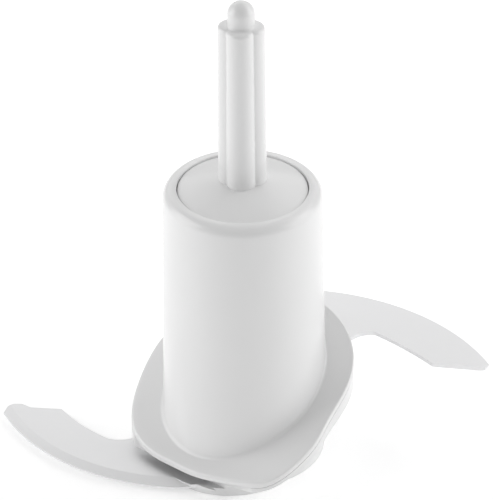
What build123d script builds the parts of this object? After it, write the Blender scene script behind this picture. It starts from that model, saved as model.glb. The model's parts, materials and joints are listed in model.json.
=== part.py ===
"""Chopping knife unit of a food processor: a two-bladed knife that drops over a removable drive shaft.

Millimetres, +Z up. The origin is on the shaft axis, in the plane that the unit stands on. The shaft
carries a four-lobed stem for discs above the knife hub, and a spindle socket inside it.
"""
from math import cos, hypot, radians, sin
import os

from build123d import *

# ---- knife hub ----
HUB_FOOT_R, HUB_TOP_R = 29.3, 27.75         # hub wall, with moulding draft
WALL_FOOT_Z, HUB_TOP_Z = 4.0, 107.8         # wall's lower end, and crest of the rounded rim
RIM_ROUND = 3.7                             # rounding of the rim's outer shoulder
LINER_R, BORE_R = 25.3, 22.9                # guide liner, outside and inside
MOUTH_R, LEDGE_Z = 23.1, 101.0              # hub mouth around the shoulder disc, and its underside
LINER_FOOT_Z, LINER_TOP_Z = 0.4, 99.4

# ---- tilted brim ----
BRIM_MID_Z = 26.4                           # brim's top face on the axis
BRIM_SLOPE, LOW_ANGLE = 0.53, -132.5        # fall per millimetre, and plan angle of the lowest side
LIP, GASKET, GASKET_INSET = 2.0, 0.5, 0.7   # shell's lip, and the gasket under it
BRIM_EDGE = [                               # plan angle and radius of the brim's edge
    (-137, 35.3), (-120, 35.4), (-104, 36.9), (-92, 39.6), (-80, 43.0), (-64, 42.4), (-52, 40.9),
    (-40, 38.8), (-20, 39.2), (-5, 39.1), (10, 37.8), (36, 35.8), (70, 36.6), (105, 39.0), (136, 40.6),
    (160, 40.3), (186, 40.5), (204, 38.0)]
UNDER_Z, UNDER_RISE = 14.2, (0.385, 0.2)    # lower body's underside: height on the axis, rise along X and Y
FOOT_WALL_R, FOOT_R = 28.6, 27.2            # hub's foot, and the round foot under the lower blade
FOOT_ANGLE, FOOT_SHIFT = 230.0, 8.5         # where that round foot is centred
FOOT_BORE_R, BAND_FOOT_Z = 25.4, 1.65       # opening through the foot, and the band's lowest level
OPEN_ANGLE, OPEN_FROM_R = 231.0, 30.6       # side where the lip overhangs the lower blade with a gap between
SEAL_Z, SEAL_SLOPE = 31.6, 0.76             # lower face of the gasket's crescent under the lip's low side

# ---- blades ----
STEEL = 1.5                                 # blade thickness
LOWER_BLADE_Z, UPPER_BLADE_Z = 1.7, 33.1    # undersides of the two blades
BEVEL, BEVEL_SHIFT, EDGE_LAND = 5.4, 1.8, 0.35          # bevel's width and drift, and steel left at the edge
LOWER_BEVEL_FROM_R, UPPER_BEVEL_FROM_R = 36.6, 43.5     # radii where the grinding starts
ROOT_INSET, ROOT_BORE_R = 1.0, 26.0         # lower blade's root, inside the foot and around the hub
RIVET_R, RIVET_L, RIVET_GRIP, RIVET_HEAD = 1.3, 5.0, 2.2, 0.2
LOWER_RIVETS = [(angle, 31.0) for angle in (196, 219, 242, 264)]
UPPER_RIVETS = [(34, 33.0), (52, 33.0), (70, 33.0)]
SCREW_ANGLES, SCREW_AT_R, SCREW_R, SCREW_HEAD_R = (0, 90, 180, 270), 26.6, 0.75, 1.1
SCREW_Z, SCREW_L, SCREW_HEAD, SCREW_RECESS = 0.2, 13.0, 1.2, (1.7, 0.35, 0.7)
CLEAR = 0.2                                 # clearance between the hub's wall and the parts around it

# ---- drive shaft ----
BARREL_R, BARREL_IN_R = 22.6, 19.6
BARREL_FOOT_Z, WEB_Z, BARREL_TOP_Z = 0.3, 96.4, 100.4
CORE_R, CORE_FOOT_Z, SOCKET_R, SPINDLE_R = 10.6, 4.0, 7.6, 5.0
SOCKET_Z, BUSH_Z = (10.0, 34.0), (68.0, 84.0)
DISC_R, DISC_EDGE_Z, DISC_CROWN_Z, CROWN_R, CROWN_BULGE = 22.75, 106.6, 111.5, 8.0, 0.45
KEYS, KEY_ANGLE, KEY_W, KEY_Z, KEY_R = 3, 30, 5.0, (2.0, 16.0), 24.2
KEY_GAP = 0.4                               # clearance beside and above each key
SEAL_GROOVE_Z, SEAL_GROOVE = (102.6, 104.4), 1.4        # rim seal's groove, heights and depth
BARREL_GROOVE_Z, BARREL_GROOVE = (21.2, 22.8), 1.2      # barrel seal's groove
RIM_SEAL, BARREL_SEAL = (22.15, 103.5, 0.74), (22.05, 22.0, 0.62)   # mean radius, height, section radius
LOBES, LOBE_R, LOBE_OFFSET, LOBE_TURN = 4, 5.2, 3.3, -6.5
LOBE_TOP_Z, LOBE_ROUND, STEM_TAPER = 172.3, 0.9, 0.4
ROD_R, ROD_TOP_Z = 4.75, 176.6
PLUG_R, PLUG_Z, FLANGE = 5.6, 92.0, 4.0
STEM_SCREW_R, STEM_SCREW_L, STEM_SCREW_HEAD = 1.6, 14.0, (3.4, 3.2)

UP = (Align.CENTER, Align.CENTER, Align.MIN)
BESIDE = (Align.MIN, Align.CENTER, Align.MIN)


def tube(outer, inner, z0, z1):
    """A ring about the shaft axis, or a plain cylinder where inner is 0."""
    ring = Pos(0, 0, z0) * Cylinder(outer, z1 - z0, align=UP)
    return ring - Pos(0, 0, z0 - 1) * Cylinder(inner, z1 - z0 + 2, align=UP) if inner else ring


def turned(points):
    """A solid of revolution about the shaft axis, from (radius, height) corners."""
    return revolve(make_face(Plane.XZ * Polyline(*points, close=True)), Axis.Z)


def at(angle, radius, z=0.0):
    """Point at a plan angle and radius."""
    return (radius * cos(radians(angle)), radius * sin(radians(angle)), z)


def around(shape, count, start=0.0):
    """Copies of a shape, evenly spaced about the shaft axis."""
    return [Rot(0, 0, start + 360 * i / count) * shape for i in range(count)]


def circle_through(a, b, c):
    """Centre and radius of the circle through three plan points."""
    (ax, ay), (bx, by), (cx, cy) = a, b, c
    d = 2 * (ax * (by - cy) + bx * (cy - ay) + cx * (ay - by))
    sa, sb, sc = ax * ax + ay * ay, bx * bx + by * by, cx * cx + cy * cy
    ux = (sa * (by - cy) + sb * (cy - ay) + sc * (ay - by)) / d
    uy = (sa * (cx - bx) + sb * (ax - cx) + sc * (bx - ax)) / d
    return ux, uy, hypot(ax - ux, ay - uy)


# ---- brim ----
def brim_column(inset=0.0):
    """Upright column with the brim's plan outline."""
    edge = Spline(*[at(angle, radius - inset) for angle, radius in BRIM_EDGE], periodic=True)
    return Pos(0, 0, -5) * extrude(make_face(edge), 70)


def below(z, rise):
    """Everything under the plane that crosses the axis at z and rises along X and Y by rise."""
    tilt = Plane(origin=(0, 0, z), z_dir=(-rise[0], -rise[1], 1))
    return tilt * Box(240, 240, 110, align=(Align.CENTER, Align.CENTER, Align.MAX))


def under_brim(drop):
    """Everything under the brim's top face lowered by drop."""
    x, y, _ = at(LOW_ANGLE, -BRIM_SLOPE)
    return below(BRIM_MID_Z - drop, (x, y))


def brim_slab(top_drop, bottom_drop, inset=0.0):
    """Slice of the brim between two planes parallel to its top face."""
    return (brim_column(inset) & under_brim(top_drop)) - under_brim(bottom_drop)


def below_level(z):
    """Everything under a level plane."""
    return below(z, (0, 0))


def foot_plan(inset=0.0):
    """Round foot under the lower blade, off the shaft axis."""
    return Pos(*at(FOOT_ANGLE, FOOT_SHIFT)[:2]) * Circle(FOOT_R - inset)


# ---- blades ----
LOWER = {"tip": (-87.7, 15.0), "mid": (-65.3, -15.0), "end": (-24.9, -31.4),
         "root": [at(-110, 32.6)[:2], at(-112, 29.0)[:2], at(176, 29.0)[:2]],
         "back": [(-86.4, 18.3), (-84.2, 19.5), (-81.2, 19.5), (-77.8, 17.1), (-66.5, 15.9)],
         "hook": [(-49.3, -2.6), (-57.2, 4.0)], "neck": [(-41.4, -2.8), (-45.4, -3.5)]}
UPPER = {"tip": (87.0, -3.4), "mid": (67.7, 24.9), "end": (28.0, 45.0),
         "root": [at(86, 38.5)[:2], at(79, 30.6)[:2], at(20, 30.6)[:2]],
         "back": [(85.6, -5.3), (77.5, -4.1), (66.9, -2.4)],
         "hook": [(47.4, 17.6), (56.4, 9.4)], "neck": [(39.4, 15.1), (43.0, 17.5)]}


def arm_plan(arm):
    """Scimitar arm in plan: convex cutting edge, blunt tip, hollowed back and a root inside the hub."""
    near, low = arm["hook"]
    neck, turn = arm["neck"]
    corner = arm["back"][-1]
    return make_face([ThreePointArc(arm["tip"], arm["mid"], arm["end"]),
                      Polyline(arm["end"], *arm["root"], neck),
                      ThreePointArc(neck, turn, near),
                      ThreePointArc(near, low, corner),
                      Polyline(*reversed(arm["back"]), arm["tip"])])


def bevel(arm, face_z, edge_z, from_r):
    """Ring wedge that grinds the cutting edge from a blade's face to near its other face."""
    cx, cy, r = circle_through(arm["tip"], arm["mid"], arm["end"])
    length = hypot(arm["tip"][0] - cx, arm["tip"][1] - cy)
    dx, dy = (arm["tip"][0] - cx) / length * BEVEL_SHIFT, (arm["tip"][1] - cy) / length * BEVEL_SHIFT
    outward = 1 if face_z > edge_z else -1
    wedge = [(r - BEVEL, face_z), (r + 12, face_z + outward), (r + 12, edge_z - outward * 2.4), (r, edge_z)]
    return (Pos(cx + dx, cy + dy, 0) * turned(wedge)) - tube(from_r, 0, face_z - 20, face_z + 20)


def rivets(places, z, length, radius=RIVET_R):
    return [Pos(*at(angle, r, z)) * Cylinder(radius, length, align=UP) for angle, r in places]


def lower_plan():
    """Lower blade in plan: the arm, and a crescent root around the hub's foot."""
    far_side = Rot(0, 0, FOOT_ANGLE) * Pos(-40, 0) * Rectangle(94, 80)
    return arm_plan(LOWER) + (foot_plan(ROOT_INSET) - Circle(ROOT_BORE_R) - far_side)


def lower_blade():
    """Lower blade, ground on its upper face."""
    blade = extrude(Pos(0, 0, LOWER_BLADE_Z) * lower_plan(), STEEL) - tube(ROOT_BORE_R, 0, -1, 20)
    blade -= bevel(LOWER, LOWER_BLADE_Z + STEEL, LOWER_BLADE_Z + EDGE_LAND, LOWER_BEVEL_FROM_R)
    return blade - rivets(LOWER_RIVETS, -1, 8) - screw_shanks()


def upper_blade():
    """Upper blade, ground on its underside."""
    blade = extrude(Pos(0, 0, UPPER_BLADE_Z) * arm_plan(UPPER), STEEL)
    blade -= tube(HUB_FOOT_R + CLEAR, 0, 20, 50)
    blade -= bevel(UPPER, UPPER_BLADE_Z, UPPER_BLADE_Z + STEEL - EDGE_LAND, UPPER_BEVEL_FROM_R)
    return blade - rivets(UPPER_RIVETS, UPPER_BLADE_Z - 3, 9)


def screw_shanks():
    """Shanks of the base screws, up into the hub wall."""
    return rivets([(angle, SCREW_AT_R) for angle in SCREW_ANGLES], SCREW_Z, SCREW_L, SCREW_R)


# ---- knife ----
def hub_shell():
    """Hub wall with its rounded rim and mouth lip, and the tilted brim."""
    wall = turned([(LINER_R, WALL_FOOT_Z), (HUB_FOOT_R, WALL_FOOT_Z), (HUB_TOP_R, HUB_TOP_Z),
                   (MOUTH_R, HUB_TOP_Z), (MOUTH_R, LEDGE_Z), (LINER_R, LEDGE_Z)])
    crest = wall.edges().filter_by(GeomType.CIRCLE).group_by(Axis.Z)[-1].sort_by(SortBy.RADIUS)
    wall = fillet(crest[-1], RIM_ROUND)
    return wall + (brim_slab(0, LIP) - tube(HUB_TOP_R, 0, -6, 60) - below_level(WALL_FOOT_Z))


def brim_gasket():
    """Seal under the shell's lip, a little inside the edge, thicker in a crescent on the low side."""
    x, y, _ = at(LOW_ANGLE, -SEAL_SLOPE)
    crescent = (brim_column(GASKET_INSET) & under_brim(LIP)) - below(SEAL_Z, (x, y))
    sheet = brim_slab(LIP, LIP + GASKET, GASKET_INSET) + crescent
    return sheet - tube(HUB_FOOT_R + CLEAR, 0, -6, 60) - below_level(LOWER_BLADE_Z + STEEL + CLEAR)


def lower_body():
    """Blade carrier: the brim's edge band over a sloping underside, open on one side, and a level foot."""
    blade_top = LOWER_BLADE_Z + STEEL
    body = (brim_column() & under_brim(LIP + GASKET)) - below(UNDER_Z, UNDER_RISE)
    foot = Circle(FOOT_WALL_R) + foot_plan()
    body += extrude(foot, 40) & brim_column() & under_brim(LIP + GASKET)
    body -= below_level(0) + brim_gasket()
    body -= below_level(BAND_FOOT_Z) - extrude(foot, 10)
    body -= tube(HUB_FOOT_R + CLEAR, 0, blade_top, 60)
    body -= tube(FOOT_BORE_R, 0, -1, 8)
    body -= extrude(Pos(0, 0, LOWER_BLADE_Z) * lower_plan(), STEEL)
    body -= Rot(0, 0, OPEN_ANGLE) * Pos(OPEN_FROM_R, 0, blade_top) * Box(60, 160, 60, align=BESIDE)
    body -= extrude(Pos(0, 0, UPPER_BLADE_Z) * arm_plan(UPPER), STEEL)
    body -= rivets(LOWER_RIVETS, -1, 1 + SCREW_Z + RIVET_L) + rivets(UPPER_RIVETS, UPPER_BLADE_Z - 4, 6.4)
    body -= screw_shanks() + screw_heads()
    return body.solids().sort_by(SortBy.VOLUME)[-1]


def hub_liner():
    """Guide sleeve in the hub, with three grooves for the shaft's keys, open at the bottom."""
    liner = tube(LINER_R, BORE_R, LINER_FOOT_Z, LINER_TOP_Z)
    depth = KEY_R + KEY_GAP - (BORE_R - 1)
    groove = Pos(BORE_R - 1 + depth / 2, 0, -1) * Box(depth, KEY_W + 2 * KEY_GAP, KEY_Z[1] + 2, align=UP)
    return liner - around(groove, KEYS, KEY_ANGLE)


def lower_blade_seal():
    """Flat ring between the hub wall's foot and the lower blade."""
    ring = tube(FOOT_WALL_R, FOOT_BORE_R, LOWER_BLADE_Z + STEEL, WALL_FOOT_Z)
    return ring - screw_shanks()


def screw_heads():
    """Heads of the base screws, in the foot."""
    return rivets([(angle, SCREW_AT_R) for angle in SCREW_ANGLES], SCREW_Z, SCREW_HEAD, SCREW_HEAD_R)


def base_screws():
    """Four cross-recessed screws from the foot up into the hub wall."""
    length, width, depth = SCREW_RECESS
    recess = Box(length, width, depth) + Box(width, length, depth)
    cuts = [Pos(*at(angle, SCREW_AT_R, SCREW_Z)) * recess for angle in SCREW_ANGLES]
    return [shank + head - cut for shank, head, cut in zip(screw_shanks(), screw_heads(), cuts)]


# ---- drive shaft ----
def stem():
    """Four-lobed disc stem with a round dome-ended rod, and a plug that sits in the barrel's core."""
    lobes = Circle(LOBE_R * 0.6)
    for i in range(LOBES):
        lobes += Pos(*at(360 / LOBES * i + LOBE_TURN, LOBE_OFFSET)[:2]) * Circle(LOBE_R)
    ribs = extrude(Pos(0, 0, DISC_EDGE_Z) * lobes, LOBE_TOP_Z - DISC_EDGE_Z, taper=STEM_TAPER)
    ribs = fillet(ribs.faces().sort_by(Axis.Z)[-1].edges(), LOBE_ROUND)
    rod = tube(ROD_R, 0, DISC_EDGE_Z, ROD_TOP_Z) + Pos(0, 0, ROD_TOP_Z) * Sphere(ROD_R)
    plug = tube(PLUG_R, 0, PLUG_Z, DISC_EDGE_Z)
    return ribs + rod + plug - tube(STEM_SCREW_R, 0, PLUG_Z - 1, PLUG_Z + STEM_SCREW_L)


def shoulder_disc():
    """Crowned disc inside the hub's mouth, with a groove for the rim seal."""
    halfway = ((DISC_R + CROWN_R) / 2, (DISC_EDGE_Z + DISC_CROWN_Z) / 2 + CROWN_BULGE)
    crown = make_face([Polyline((PLUG_R, DISC_CROWN_Z), (PLUG_R, BARREL_TOP_Z), (DISC_R, BARREL_TOP_Z),
                                (DISC_R, DISC_EDGE_Z)),
                       ThreePointArc((DISC_R, DISC_EDGE_Z), halfway, (CROWN_R, DISC_CROWN_Z)),
                       Line((CROWN_R, DISC_CROWN_Z), (PLUG_R, DISC_CROWN_Z))])
    disc = revolve(Plane.XZ * crown, Axis.Z) - tube(DISC_R + 1, DISC_R - SEAL_GROOVE, *SEAL_GROOVE_Z)
    return disc - stem()


def seal_ring(centre_r, z, section_r):
    return Pos(0, 0, z) * Torus(centre_r, section_r)


def shaft_barrel():
    """Barrel that the hub drops over: sleeve with keys and a seal groove, and a web under the disc."""
    barrel = tube(BARREL_R, BARREL_IN_R, BARREL_FOOT_Z, BARREL_TOP_Z)
    barrel += tube(BARREL_IN_R + 0.1, PLUG_R, WEB_Z, BARREL_TOP_Z)
    sunk = BARREL_R - 0.8
    key = Pos((sunk + KEY_R) / 2, 0, KEY_Z[0]) * Box(KEY_R - sunk, KEY_W, KEY_Z[1] - KEY_Z[0], align=UP)
    barrel += around(key, KEYS, KEY_ANGLE)
    return barrel - tube(BARREL_R + 1, BARREL_R - BARREL_GROOVE, *BARREL_GROOVE_Z)


def spindle_core():
    """Core tube for the motor spindle, slotted at its mouth, with a flange for the stem's screw."""
    core = tube(CORE_R, SOCKET_R, CORE_FOOT_Z, WEB_Z)
    core += tube(SOCKET_R + 0.1, STEM_SCREW_R + CLEAR, PLUG_Z - FLANGE, PLUG_Z)
    slot = Pos((CORE_R + SOCKET_R) / 2, 0, CORE_FOOT_Z - 1) * Box(8, 4, 6.5, align=UP)
    return core - around(slot, 4)


def stem_screw():
    """Hex-socket screw that clamps the stem's plug down on the core's flange."""
    head_r, head_l = STEM_SCREW_HEAD
    seat_z = PLUG_Z - FLANGE
    head = tube(head_r, 0, seat_z - head_l, seat_z)
    head -= Pos(0, 0, seat_z - head_l - 1) * extrude(RegularPolygon(1.6, 6), 2.8)
    return head + tube(STEM_SCREW_R, 0, seat_z, PLUG_Z + STEM_SCREW_L - 0.5)


def nodes():
    """Every piece of the unit, by name."""
    return {
        "stem": stem(),
        "shoulder_disc": shoulder_disc(),
        "rim_seal": seal_ring(*RIM_SEAL),
        "shaft_barrel": shaft_barrel(),
        "spindle_core": spindle_core(),
        "barrel_seal": seal_ring(*BARREL_SEAL),
        "drive_socket": tube(SOCKET_R, SPINDLE_R, *SOCKET_Z),
        "spindle_bush": tube(SOCKET_R, SPINDLE_R, *BUSH_Z),
        "stem_screw": stem_screw(),
        "hub_shell": hub_shell() - screw_shanks(),
        "hub_liner": hub_liner(),
        "liner_ring": tube(LINER_R, MOUTH_R + 0.1, LINER_TOP_Z, LEDGE_Z),
        "brim_gasket": brim_gasket(),
        "lower_body": lower_body(),
        "lower_blade": lower_blade(),
        "lower_blade_seal": lower_blade_seal(),
        "lower_blade_rivets": rivets(LOWER_RIVETS, SCREW_Z, RIVET_L),
        "upper_blade": upper_blade(),
        "upper_blade_rivets": rivets(
            UPPER_RIVETS, UPPER_BLADE_Z - RIVET_GRIP, RIVET_GRIP + STEEL + RIVET_HEAD),
        "base_screws": base_screws(),
    }


if __name__ == "__main__":
    os.makedirs("parts", exist_ok=True)
    for name, shape in nodes().items():
        whole = Compound(children=shape) if isinstance(shape, list) else shape
        export_step(whole, f"parts/{name}.step")
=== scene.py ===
"""Looks of the food processor knife unit: smooth moulded hub, brim, disc and stem, and satin steel blades.

Metres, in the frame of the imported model. Lengths below are in millimetres and scaled by MM.
"""
import bisect
import json
import math

import bpy
from mathutils import Matrix, Vector


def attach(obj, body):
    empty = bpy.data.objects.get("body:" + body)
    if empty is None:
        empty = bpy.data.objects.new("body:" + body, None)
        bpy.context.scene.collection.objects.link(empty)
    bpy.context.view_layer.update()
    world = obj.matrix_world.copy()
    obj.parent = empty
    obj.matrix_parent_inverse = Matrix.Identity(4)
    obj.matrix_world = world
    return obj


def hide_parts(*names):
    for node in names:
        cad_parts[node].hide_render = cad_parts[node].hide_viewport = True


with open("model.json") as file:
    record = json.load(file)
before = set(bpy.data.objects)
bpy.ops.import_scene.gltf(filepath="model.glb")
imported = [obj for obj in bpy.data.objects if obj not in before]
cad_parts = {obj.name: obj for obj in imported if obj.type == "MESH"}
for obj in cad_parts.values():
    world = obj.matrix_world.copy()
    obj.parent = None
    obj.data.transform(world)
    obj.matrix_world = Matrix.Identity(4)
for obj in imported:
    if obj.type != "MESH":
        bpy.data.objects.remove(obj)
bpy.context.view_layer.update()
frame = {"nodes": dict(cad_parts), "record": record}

MM = 0.001
TAU = 2 * math.pi

# ---- sizes of the moulded pieces: as in the CAD, but for the small roundings, the lip's skirt,
# ---- the mouth's radius and the height of the disc's edge
WALL_FOOT, WALL_TOP = (29.3, 4.0), (27.75, 107.8)
RIM_ROUND, MOUTH_R, MOUTH_ROUND = 3.8, 22.97, 0.25
WALL_GAP = 0.3                      # step between the wall and the lip's underside
LEDGE_Z, INNER_R = 101.0, 25.3
BRIM_MID_Z, BRIM_SLOPE, LOW_ANGLE = 26.4, 0.53, math.radians(-132.5)
LIP, LIP_ROUND, LIP_FOOT_ROUND, CREASE_ROUND = 2.0, 0.7, 0.25, 1.2
LIP_SKIRT, SKIRT_W, SKIRT_BLEND = 0.42, 1.5, 0.3   # skirt's depth, width, and blend into the underside
OPEN_HALF, FADE = math.radians(36), math.radians(12)    # low side without a skirt, and the fade beside it
BRIM_EDGE = [
    (-137, 35.3), (-120, 35.4), (-104, 36.9), (-92, 39.6), (-80, 43.0), (-64, 42.4), (-52, 40.9),
    (-40, 38.8), (-20, 39.2), (-5, 39.1), (10, 37.8), (36, 35.8), (70, 36.6), (105, 39.0), (136, 40.6),
    (160, 40.3), (186, 40.5), (204, 38.0)]
DISC_R, DISC_FOOT_Z, DISC_EDGE_Z, DISC_CROWN_Z, PLUG_R = 22.75, 100.4, 107.2, 111.5, 5.6
CROWN_R, CROWN_SWELL, DISC_ROUND, DISC_BORE_CUT = 8.2, 0.20, 0.5, (0.3, 0.4)
SEAL_GROOVE = (21.35, 102.6, 104.4)
LOBE_R, LOBE_OFFSET, LOBE_TURN = 5.2, 3.3, math.radians(-6.5)
STEM_FOOT_Z, LOBE_TOP_Z, STEM_TAPER = 106.6, 172.3, math.tan(math.radians(0.4))
LOBE_ROUND, LOBE_TOP_DIP = 1.1, 0.02
ROD_R, ROD_TOP_Z, PLUG_Z, PLUG_CUT = 4.75, 176.6, 92.0, 0.3
ROD_FILLET = [(0.45, 0.10), (0.12, 0.40), (0.0, 0.9)]  # width outside the rod, and height over the lobes
ROD_FILLET_W, ROD_FROM = 0.7, 1.2
SCREW_R, SCREW_DEPTH = 1.6, 14.0
EDGE_ROUNDING = {"lower_blade": 0.12, "upper_blade": 0.12, "lower_body": 0.25}
SHARP_DEGREES, ROUNDED_DEGREES = 40, 35

# ---- stage: size and height of the floor in millimetres, lights and camera in metres ----
FLOOR_HALF, FLOOR_Z, FLOOR_GLOW = 6000, -0.05, 0.28
MIDDLE = (0, 0, 0.08)
SOFTBOXES = [                       # name, place, size, power
    ("left_softbox", (-0.9, 0.0, 0.45), (0.8, 0.8), 4.3),
    ("right_softbox", (0.9, 0.0, 0.45), (0.8, 0.8), 3.8),
    ("back_softbox", (0.0, 1.0, 0.80), (1.6, 0.9), 3.2),
    ("high_softbox", (0.75, 0.35, 0.95), (0.7, 0.7), 1.9)]
ROOM_LIGHT = 0.42
ELEVATION, DISTANCE, AIM, ROLL = 33.1, 1.3986, (0.00113, 0, 0.08184), -0.5
LENS, SENSOR, FAR = 288.0, 36.0, 20


# ---- mesh helpers ----
def lerp(a, b, t):
    return a + (b - a) * t


def arc(centre, radius, start, end, steps):
    """Points of an arc in the (radius, height) plane, angles in degrees."""
    angles = [math.radians(lerp(start, end, i / steps)) for i in range(steps + 1)]
    return [(centre[0] + radius * math.cos(a), centre[1] + radius * math.sin(a)) for a in angles]


def run(a, b, steps):
    """Points between two corners, without the last one."""
    return [(lerp(a[0], b[0], i / steps), lerp(a[1], b[1], i / steps)) for i in range(steps)]


def new_object(name, verts, faces):
    mesh = bpy.data.meshes.new(name)
    mesh.from_pydata([Vector(v) * MM for v in verts], [], faces)
    mesh.validate()
    piece = bpy.data.objects.new(name, mesh)
    bpy.context.collection.objects.link(piece)
    return piece


def lathe(name, profile_at, turns, closed=True):
    """Surface swept about the shaft axis from one profile per angle; open profiles end on the axis."""
    rows = [profile_at(TAU * i / turns) for i in range(turns)]
    count = len(rows[0])
    verts = [(r * math.cos(TAU * i / turns), r * math.sin(TAU * i / turns), z)
             for i, row in enumerate(rows) for r, z in row]
    faces = []
    for i in range(turns):
        a, b = i * count, ((i + 1) % turns) * count
        for j in range(count if closed else count - 1):
            k = (j + 1) % count
            faces.append((a + j, b + j, b + k, a + k))
    if not closed:
        for end, tip in ((0, rows[0][0]), (count - 1, rows[0][-1])):
            pole = len(verts)
            verts.append((0, 0, tip[1]))
            ring = [i * count + end for i in range(turns)]
            pairs = list(zip(ring, ring[1:] + ring[:1]))
            faces += [(p, q, pole) if end else (q, p, pole) for p, q in pairs]
    return new_object(name, verts, faces)


def shade(piece):
    piece.data.shade_smooth()
    piece.data.set_sharp_from_angle(angle=math.radians(SHARP_DEGREES))


# ---- brim outline ----
def closed_spline(knots, steps):
    """Points of the smooth closed curve through the knots, spaced by chord length."""
    n = len(knots)
    span = [(knots[(i + 1) % n] - knots[i]).length for i in range(n)]
    slope = [(knots[(i + 1) % n] - knots[i]) / span[i] for i in range(n)]
    tangent = [(slope[i - 1] + slope[i]) / 2 for i in range(n)]
    for _ in range(60):
        for i in range(n):
            a, b = span[i - 1], span[i]
            pull = 3 * (b * slope[i - 1] + a * slope[i])
            tangent[i] = (pull - b * tangent[i - 1] - a * tangent[(i + 1) % n]) / (2 * (a + b))
    points = []
    for i in range(n):
        p, q, u, v = knots[i], knots[(i + 1) % n], tangent[i] * span[i], tangent[(i + 1) % n] * span[i]
        for k in range(steps):
            t = k / steps
            points.append((2 * t**3 - 3 * t**2 + 1) * p + (t**3 - 2 * t**2 + t) * u
                          + (3 * t**2 - 2 * t**3) * q + (t**3 - t**2) * v)
    return points


def edge_table():
    knots = [Vector((r * math.cos(math.radians(a)), r * math.sin(math.radians(a)))) for a, r in BRIM_EDGE]
    table = sorted((math.atan2(p.y, p.x) % TAU, p.length) for p in closed_spline(knots, 24))
    return [(table[-1][0] - TAU, table[-1][1])] + table + [(table[0][0] + TAU, table[0][1])]


EDGE = edge_table()


def edge_radius(angle):
    """Brim's plan radius at an angle."""
    angle %= TAU
    i = bisect.bisect_right(EDGE, (angle, math.inf))
    (a0, r0), (a1, r1) = EDGE[i - 1], EDGE[i]
    return lerp(r0, r1, (angle - a0) / (a1 - a0))


def lip_depth(angle):
    """Lip's thickness, deeper where its skirt reaches down to the lower body."""
    off = abs((angle - LOW_ANGLE + math.pi) % TAU - math.pi)
    t = min(max((off - OPEN_HALF) / FADE, 0), 1)
    return LIP + LIP_SKIRT * t * t * (3 - 2 * t)


def brim_z(r, angle):
    """Height of the brim's top face."""
    return BRIM_MID_Z - BRIM_SLOPE * r * math.cos(angle - LOW_ANGLE)


def wall_r(z):
    (r0, z0), (r1, z1) = WALL_FOOT, WALL_TOP
    return lerp(r0, r1, (z - z0) / (z1 - z0))


# ---- hub shell ----
def hub_profile(angle):
    """Closed section of the hub shell at one plan angle: mouth, rim, wall, brim, lip, and back inside."""
    top = WALL_TOP[1]
    out_r = wall_r(top - RIM_ROUND)
    points = arc((MOUTH_R + MOUTH_ROUND, top - MOUTH_ROUND), MOUTH_ROUND, 180, 90, 4)
    points += arc((out_r - RIM_ROUND, top - RIM_ROUND), RIM_ROUND, 88, 0, 14)
    wall = wall_r(brim_z(WALL_FOOT[0], angle) + CREASE_ROUND)
    foot_z = brim_z(wall, angle) + CREASE_ROUND
    points += run((out_r, top - RIM_ROUND), (wall, foot_z), 12)[1:]
    for i in range(9):
        t = i / 8
        ease = 1 - math.cos(t * math.pi / 2)
        r = wall + CREASE_ROUND * ease
        points.append((r, brim_z(r, angle) + CREASE_ROUND * (1 - math.sin(t * math.pi / 2))))
    rim = edge_radius(angle)
    inner = rim - LIP_ROUND
    start = wall + CREASE_ROUND
    points += [(lerp(start, inner, i / 4), brim_z(lerp(start, inner, i / 4), angle)) for i in (1, 2, 3, 4)]
    depth = lip_depth(angle)
    bend = arc((inner, -LIP_ROUND), LIP_ROUND, 75, 0, 5)
    bend += arc((rim - LIP_FOOT_ROUND, LIP_FOOT_ROUND - depth), LIP_FOOT_ROUND, 0, -90, 4)
    points += [(r, brim_z(r, angle) + drop) for r, drop in bend]
    skirt = rim - SKIRT_W - SKIRT_BLEND
    points += [(r, brim_z(r, angle) - depth) for r in (rim - SKIRT_W, skirt)]
    under = brim_z(WALL_FOOT[0], angle) - LIP
    points += [(skirt, brim_z(skirt, angle) - LIP), (WALL_FOOT[0] + WALL_GAP, under)]
    points += run((WALL_FOOT[0], under), WALL_FOOT, 2) + [WALL_FOOT, (INNER_R, WALL_FOOT[1])]
    points += [(INNER_R, LEDGE_Z - 1), (INNER_R, LEDGE_Z), (MOUTH_R, LEDGE_Z)]
    return points


def make_hub():
    hub = lathe("hub_shell_moulding", hub_profile, 288)
    shade(hub)
    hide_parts("hub_shell")
    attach(hub, "knife")
    return hub


# ---- shoulder disc ----
def disc_profile(_angle):
    """Closed section: bore, crowned top, rounded edge, seal groove and underside."""
    groove_r, groove_low, groove_high = SEAL_GROOVE
    cut_w, cut_h = DISC_BORE_CUT
    points = [(PLUG_R, DISC_FOOT_Z), (PLUG_R, DISC_CROWN_Z - cut_h), (PLUG_R + cut_w, DISC_CROWN_Z)]
    rise = DISC_CROWN_Z - DISC_EDGE_Z
    for i in range(17):
        t = i / 16
        r = lerp(CROWN_R, DISC_R - DISC_ROUND, t)
        points.append((r, DISC_EDGE_Z + rise * (1 - t) * (1 + CROWN_SWELL * t)))
    points += arc((DISC_R - DISC_ROUND, DISC_EDGE_Z - DISC_ROUND), DISC_ROUND, 70, 0, 4)
    points += [(DISC_R, groove_high), (groove_r, groove_high), (groove_r, groove_low), (DISC_R, groove_low)]
    points += [(DISC_R, DISC_FOOT_Z)]
    return points


def make_disc():
    disc = lathe("shoulder_disc_moulding", disc_profile, 160)
    shade(disc)
    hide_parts("shoulder_disc")
    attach(disc, "drive_shaft")
    return disc


# ---- stem ----
def lobe_radius(angle, z):
    """Outline radius of the four-lobed stem."""
    local = (angle - LOBE_TURN + math.pi / 4) % (math.pi / 2) - math.pi / 4
    radius = LOBE_OFFSET * math.cos(local) + math.sqrt(LOBE_R**2 - (LOBE_OFFSET * math.sin(local))**2)
    return radius - (z - STEM_FOOT_Z) * STEM_TAPER


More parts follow.
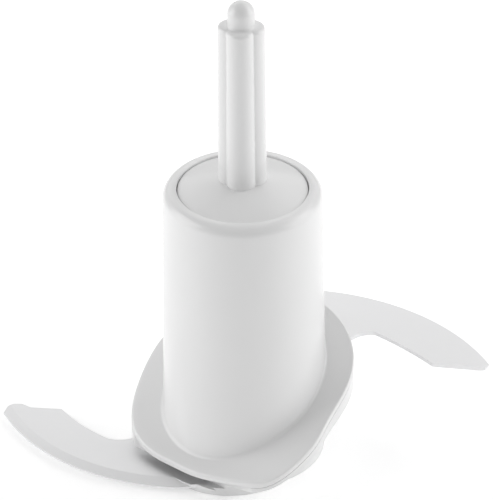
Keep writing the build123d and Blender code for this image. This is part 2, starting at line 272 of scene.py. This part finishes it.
def stem_profile(angle):
    """Open section from the plug's screw hole out and up to the dome."""
    points = [(SCREW_R, PLUG_Z + SCREW_DEPTH), (SCREW_R, PLUG_Z), (PLUG_R - PLUG_CUT, PLUG_Z),
              (PLUG_R, PLUG_Z + PLUG_CUT), (PLUG_R, STEM_FOOT_Z - LOBE_TOP_DIP)]
    shoulder_z = LOBE_TOP_Z - LOBE_ROUND
    foot, shoulder = lobe_radius(angle, STEM_FOOT_Z), lobe_radius(angle, shoulder_z)
    points += run((foot, STEM_FOOT_Z), (shoulder, shoulder_z), 16)
    reach = lobe_radius(angle, LOBE_TOP_Z) - LOBE_ROUND
    points += arc((reach, shoulder_z), LOBE_ROUND, 0, 80, 6)
    points.append((lerp(reach, ROD_R + ROD_FILLET_W, 0.5), LOBE_TOP_Z + LOBE_TOP_DIP))
    points += [(ROD_R + out, LOBE_TOP_Z + up) for out, up in ROD_FILLET]
    points += run((ROD_R, LOBE_TOP_Z + ROD_FROM), (ROD_R, ROD_TOP_Z), 3)
    points += arc((0, ROD_TOP_Z), ROD_R, 0, 86, 14)
    return points


def make_stem():
    stem = lathe("stem_moulding", stem_profile, 192, closed=False)
    shade(stem)
    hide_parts("stem")
    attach(stem, "drive_shaft")
    return stem


# ---- materials ----
def shader(name, colour, **sockets):
    """Principled material; every fixed number sits on the shader's own socket."""
    mat = bpy.data.materials.new(name)
    mat.use_nodes = True
    bsdf = mat.node_tree.nodes["Principled BSDF"]
    bsdf.inputs["Base Color"].default_value = (*colour, 1)
    for socket, value in sockets.items():
        bsdf.inputs[socket.replace("_", " ")].default_value = value
    return mat, bsdf


def node(mat, kind, **inputs):
    made = mat.node_tree.nodes.new(kind)
    for socket, value in inputs.items():
        made.inputs[socket.replace("_", " ")].default_value = value
    return made


def noise(mat, scale, detail=3.0, stretch=(1, 1, 1)):
    """Noise in object space, stretched along an axis."""
    place = node(mat, "ShaderNodeTexCoord")
    mapping = node(mat, "ShaderNodeMapping", Scale=stretch)
    made = node(mat, "ShaderNodeTexNoise", Scale=scale, Detail=detail)
    mat.node_tree.links.new(place.outputs["Object"], mapping.inputs["Vector"])
    mat.node_tree.links.new(mapping.outputs["Vector"], made.inputs["Vector"])
    return made.outputs["Fac"]


def ramp(mat, source, low, high):
    """Source mapped from 0..1 to low..high."""
    made = node(mat, "ShaderNodeMapRange", To_Min=low, To_Max=high)
    mat.node_tree.links.new(source, made.inputs["Value"])
    return made.outputs["Result"]


def bump(mat, bsdf, source, strength, distance):
    made = node(mat, "ShaderNodeBump", Strength=strength, Distance=distance)
    mat.node_tree.links.new(source, made.inputs["Height"])
    mat.node_tree.links.new(made.outputs["Normal"], bsdf.inputs["Normal"])


def tint(mat, bsdf, source, dark, light):
    """Colour that drifts between two close tones."""
    mix = mat.node_tree.nodes.new("ShaderNodeMix")
    mix.data_type = "RGBA"
    mix.inputs["A"].default_value = (*dark, 1)
    mix.inputs["B"].default_value = (*light, 1)
    mat.node_tree.links.new(source, mix.inputs["Factor"])
    mat.node_tree.links.new(mix.outputs["Result"], bsdf.inputs["Base Color"])


def white_plastic():
    mat, bsdf = shader("white_plastic", (0.80, 0.80, 0.80), Coat_Weight=0.35, Coat_Roughness=0.08)
    tint(mat, bsdf, noise(mat, 30), (0.775, 0.775, 0.775), (0.80, 0.80, 0.80))
    mat.node_tree.links.new(ramp(mat, noise(mat, 220, 4), 0.26, 0.34), bsdf.inputs["Roughness"])
    bump(mat, bsdf, noise(mat, 900, 2), 0.12, 0.00006)
    return mat


def plastic(name, colour, rough):
    mat, bsdf = shader(name, colour)
    tint(mat, bsdf, noise(mat, 60), tuple(c * 0.93 for c in colour), colour)
    mat.node_tree.links.new(ramp(mat, noise(mat, 300), rough, rough + 0.1), bsdf.inputs["Roughness"])
    bump(mat, bsdf, noise(mat, 1400, 2), 0.25, 0.00008)
    return mat


def blade_steel():
    """Satin stainless steel with a fine grain."""
    mat, bsdf = shader("blade_steel", (0.84, 0.84, 0.845), Metallic=0.72)
    tint(mat, bsdf, noise(mat, 18, 5), (0.82, 0.82, 0.825), (0.86, 0.86, 0.865))
    grain = noise(mat, 260, 2, (1, 7, 1))
    mat.node_tree.links.new(ramp(mat, grain, 0.40, 0.54), bsdf.inputs["Roughness"])
    bump(mat, bsdf, grain, 0.10, 0.00005)
    return mat


def metal(name, colour, rough):
    mat, bsdf = shader(name, colour, Metallic=1.0)
    tint(mat, bsdf, noise(mat, 80), tuple(c * 0.9 for c in colour), colour)
    gloss = ramp(mat, noise(mat, 500, 2, (1, 1, 6)), rough, rough + 0.14)
    mat.node_tree.links.new(gloss, bsdf.inputs["Roughness"])
    bump(mat, bsdf, noise(mat, 900, 2, (1, 1, 8)), 0.15, 0.00005)
    return mat


def make_materials():
    return {
        "white_plastic": white_plastic(),
        "liner_plastic": plastic("liner_plastic", (0.60, 0.60, 0.61), 0.38),
        "grey_plastic": plastic("grey_plastic", (0.34, 0.35, 0.37), 0.42),
        "dark_seal": plastic("dark_seal", (0.03, 0.03, 0.032), 0.60),
        "blade_steel": blade_steel(),
        "screw_steel": metal("screw_steel", (0.60, 0.60, 0.61), 0.28),
        "socket_steel": metal("socket_steel", (0.45, 0.45, 0.46), 0.34),
        "bush_brass": metal("bush_brass", (0.72, 0.53, 0.25), 0.36),
    }


def soften(node_name, width):
    """Small rounding on a CAD node's sharp edges, for the looks."""
    rounding = frame["nodes"][node_name].modifiers.new("edge_rounding", "BEVEL")
    rounding.width = width * MM
    rounding.segments = 2
    rounding.limit_method = "ANGLE"
    rounding.angle_limit = math.radians(ROUNDED_DEGREES)


def dress(materials, pieces):
    """Gives every CAD node and new piece the material of its slot."""
    for entry in frame["record"]["subparts"]:
        obj = frame["nodes"][entry["node"]]
        obj.data.materials.clear()
        obj.data.materials.append(materials[entry["material_slot"]])
    for piece in pieces:
        piece.data.materials.append(materials["white_plastic"])


# ---- stage ----
def make_floor():
    half, z = FLOOR_HALF, FLOOR_Z
    floor = new_object("floor", [(-half, -half, z), (half, -half, z), (half, half, z), (-half, half, z)],
                       [(0, 1, 2, 3)])
    mat, bsdf = shader("floor_paper", (0.93, 0.93, 0.93), Roughness=0.9, Emission_Strength=FLOOR_GLOW)
    bsdf.inputs["Emission Color"].default_value = (1, 1, 1, 1)
    floor.data.materials.append(mat)


def area_light(name, place, size, power):
    data = bpy.data.lights.new(name, "AREA")
    data.shape = "RECTANGLE"
    data.size, data.size_y = size
    data.energy = power
    lamp = bpy.data.objects.new(name, data)
    bpy.context.collection.objects.link(lamp)
    lamp.location = place
    lamp.rotation_euler = (Vector(MIDDLE) - Vector(place)).to_track_quat("-Z", "Y").to_euler()


def make_lights():
    for softbox in SOFTBOXES:
        area_light(*softbox)
    world = bpy.data.worlds.new("studio")
    world.use_nodes = True
    world.node_tree.nodes["Background"].inputs["Color"].default_value = (1, 1, 1, 1)
    world.node_tree.nodes["Background"].inputs["Strength"].default_value = ROOM_LIGHT
    bpy.context.scene.world = world


def make_camera():
    """Long lens, looking down on the unit."""
    data = bpy.data.cameras.new("camera")
    data.lens, data.sensor_width = LENS, SENSOR
    data.clip_end = FAR
    cam = bpy.data.objects.new("camera", data)
    bpy.context.collection.objects.link(cam)
    tilt = math.radians(ELEVATION)
    away = Vector((0, -math.cos(tilt), math.sin(tilt)))
    cam.location = Vector(AIM) + away * DISTANCE
    look = (-away).to_track_quat("-Z", "Y").to_matrix()
    cam.rotation_euler = (look @ Matrix.Rotation(math.radians(ROLL), 3, "Z")).to_euler()
    bpy.context.scene.camera = cam


bpy.context.scene.view_settings.view_transform = "Standard"
make_camera()
make_lights()
make_floor()
pieces = [make_hub(), make_disc(), make_stem()]
dress(make_materials(), pieces)
for node_name, width in EDGE_ROUNDING.items():
    soften(node_name, width)
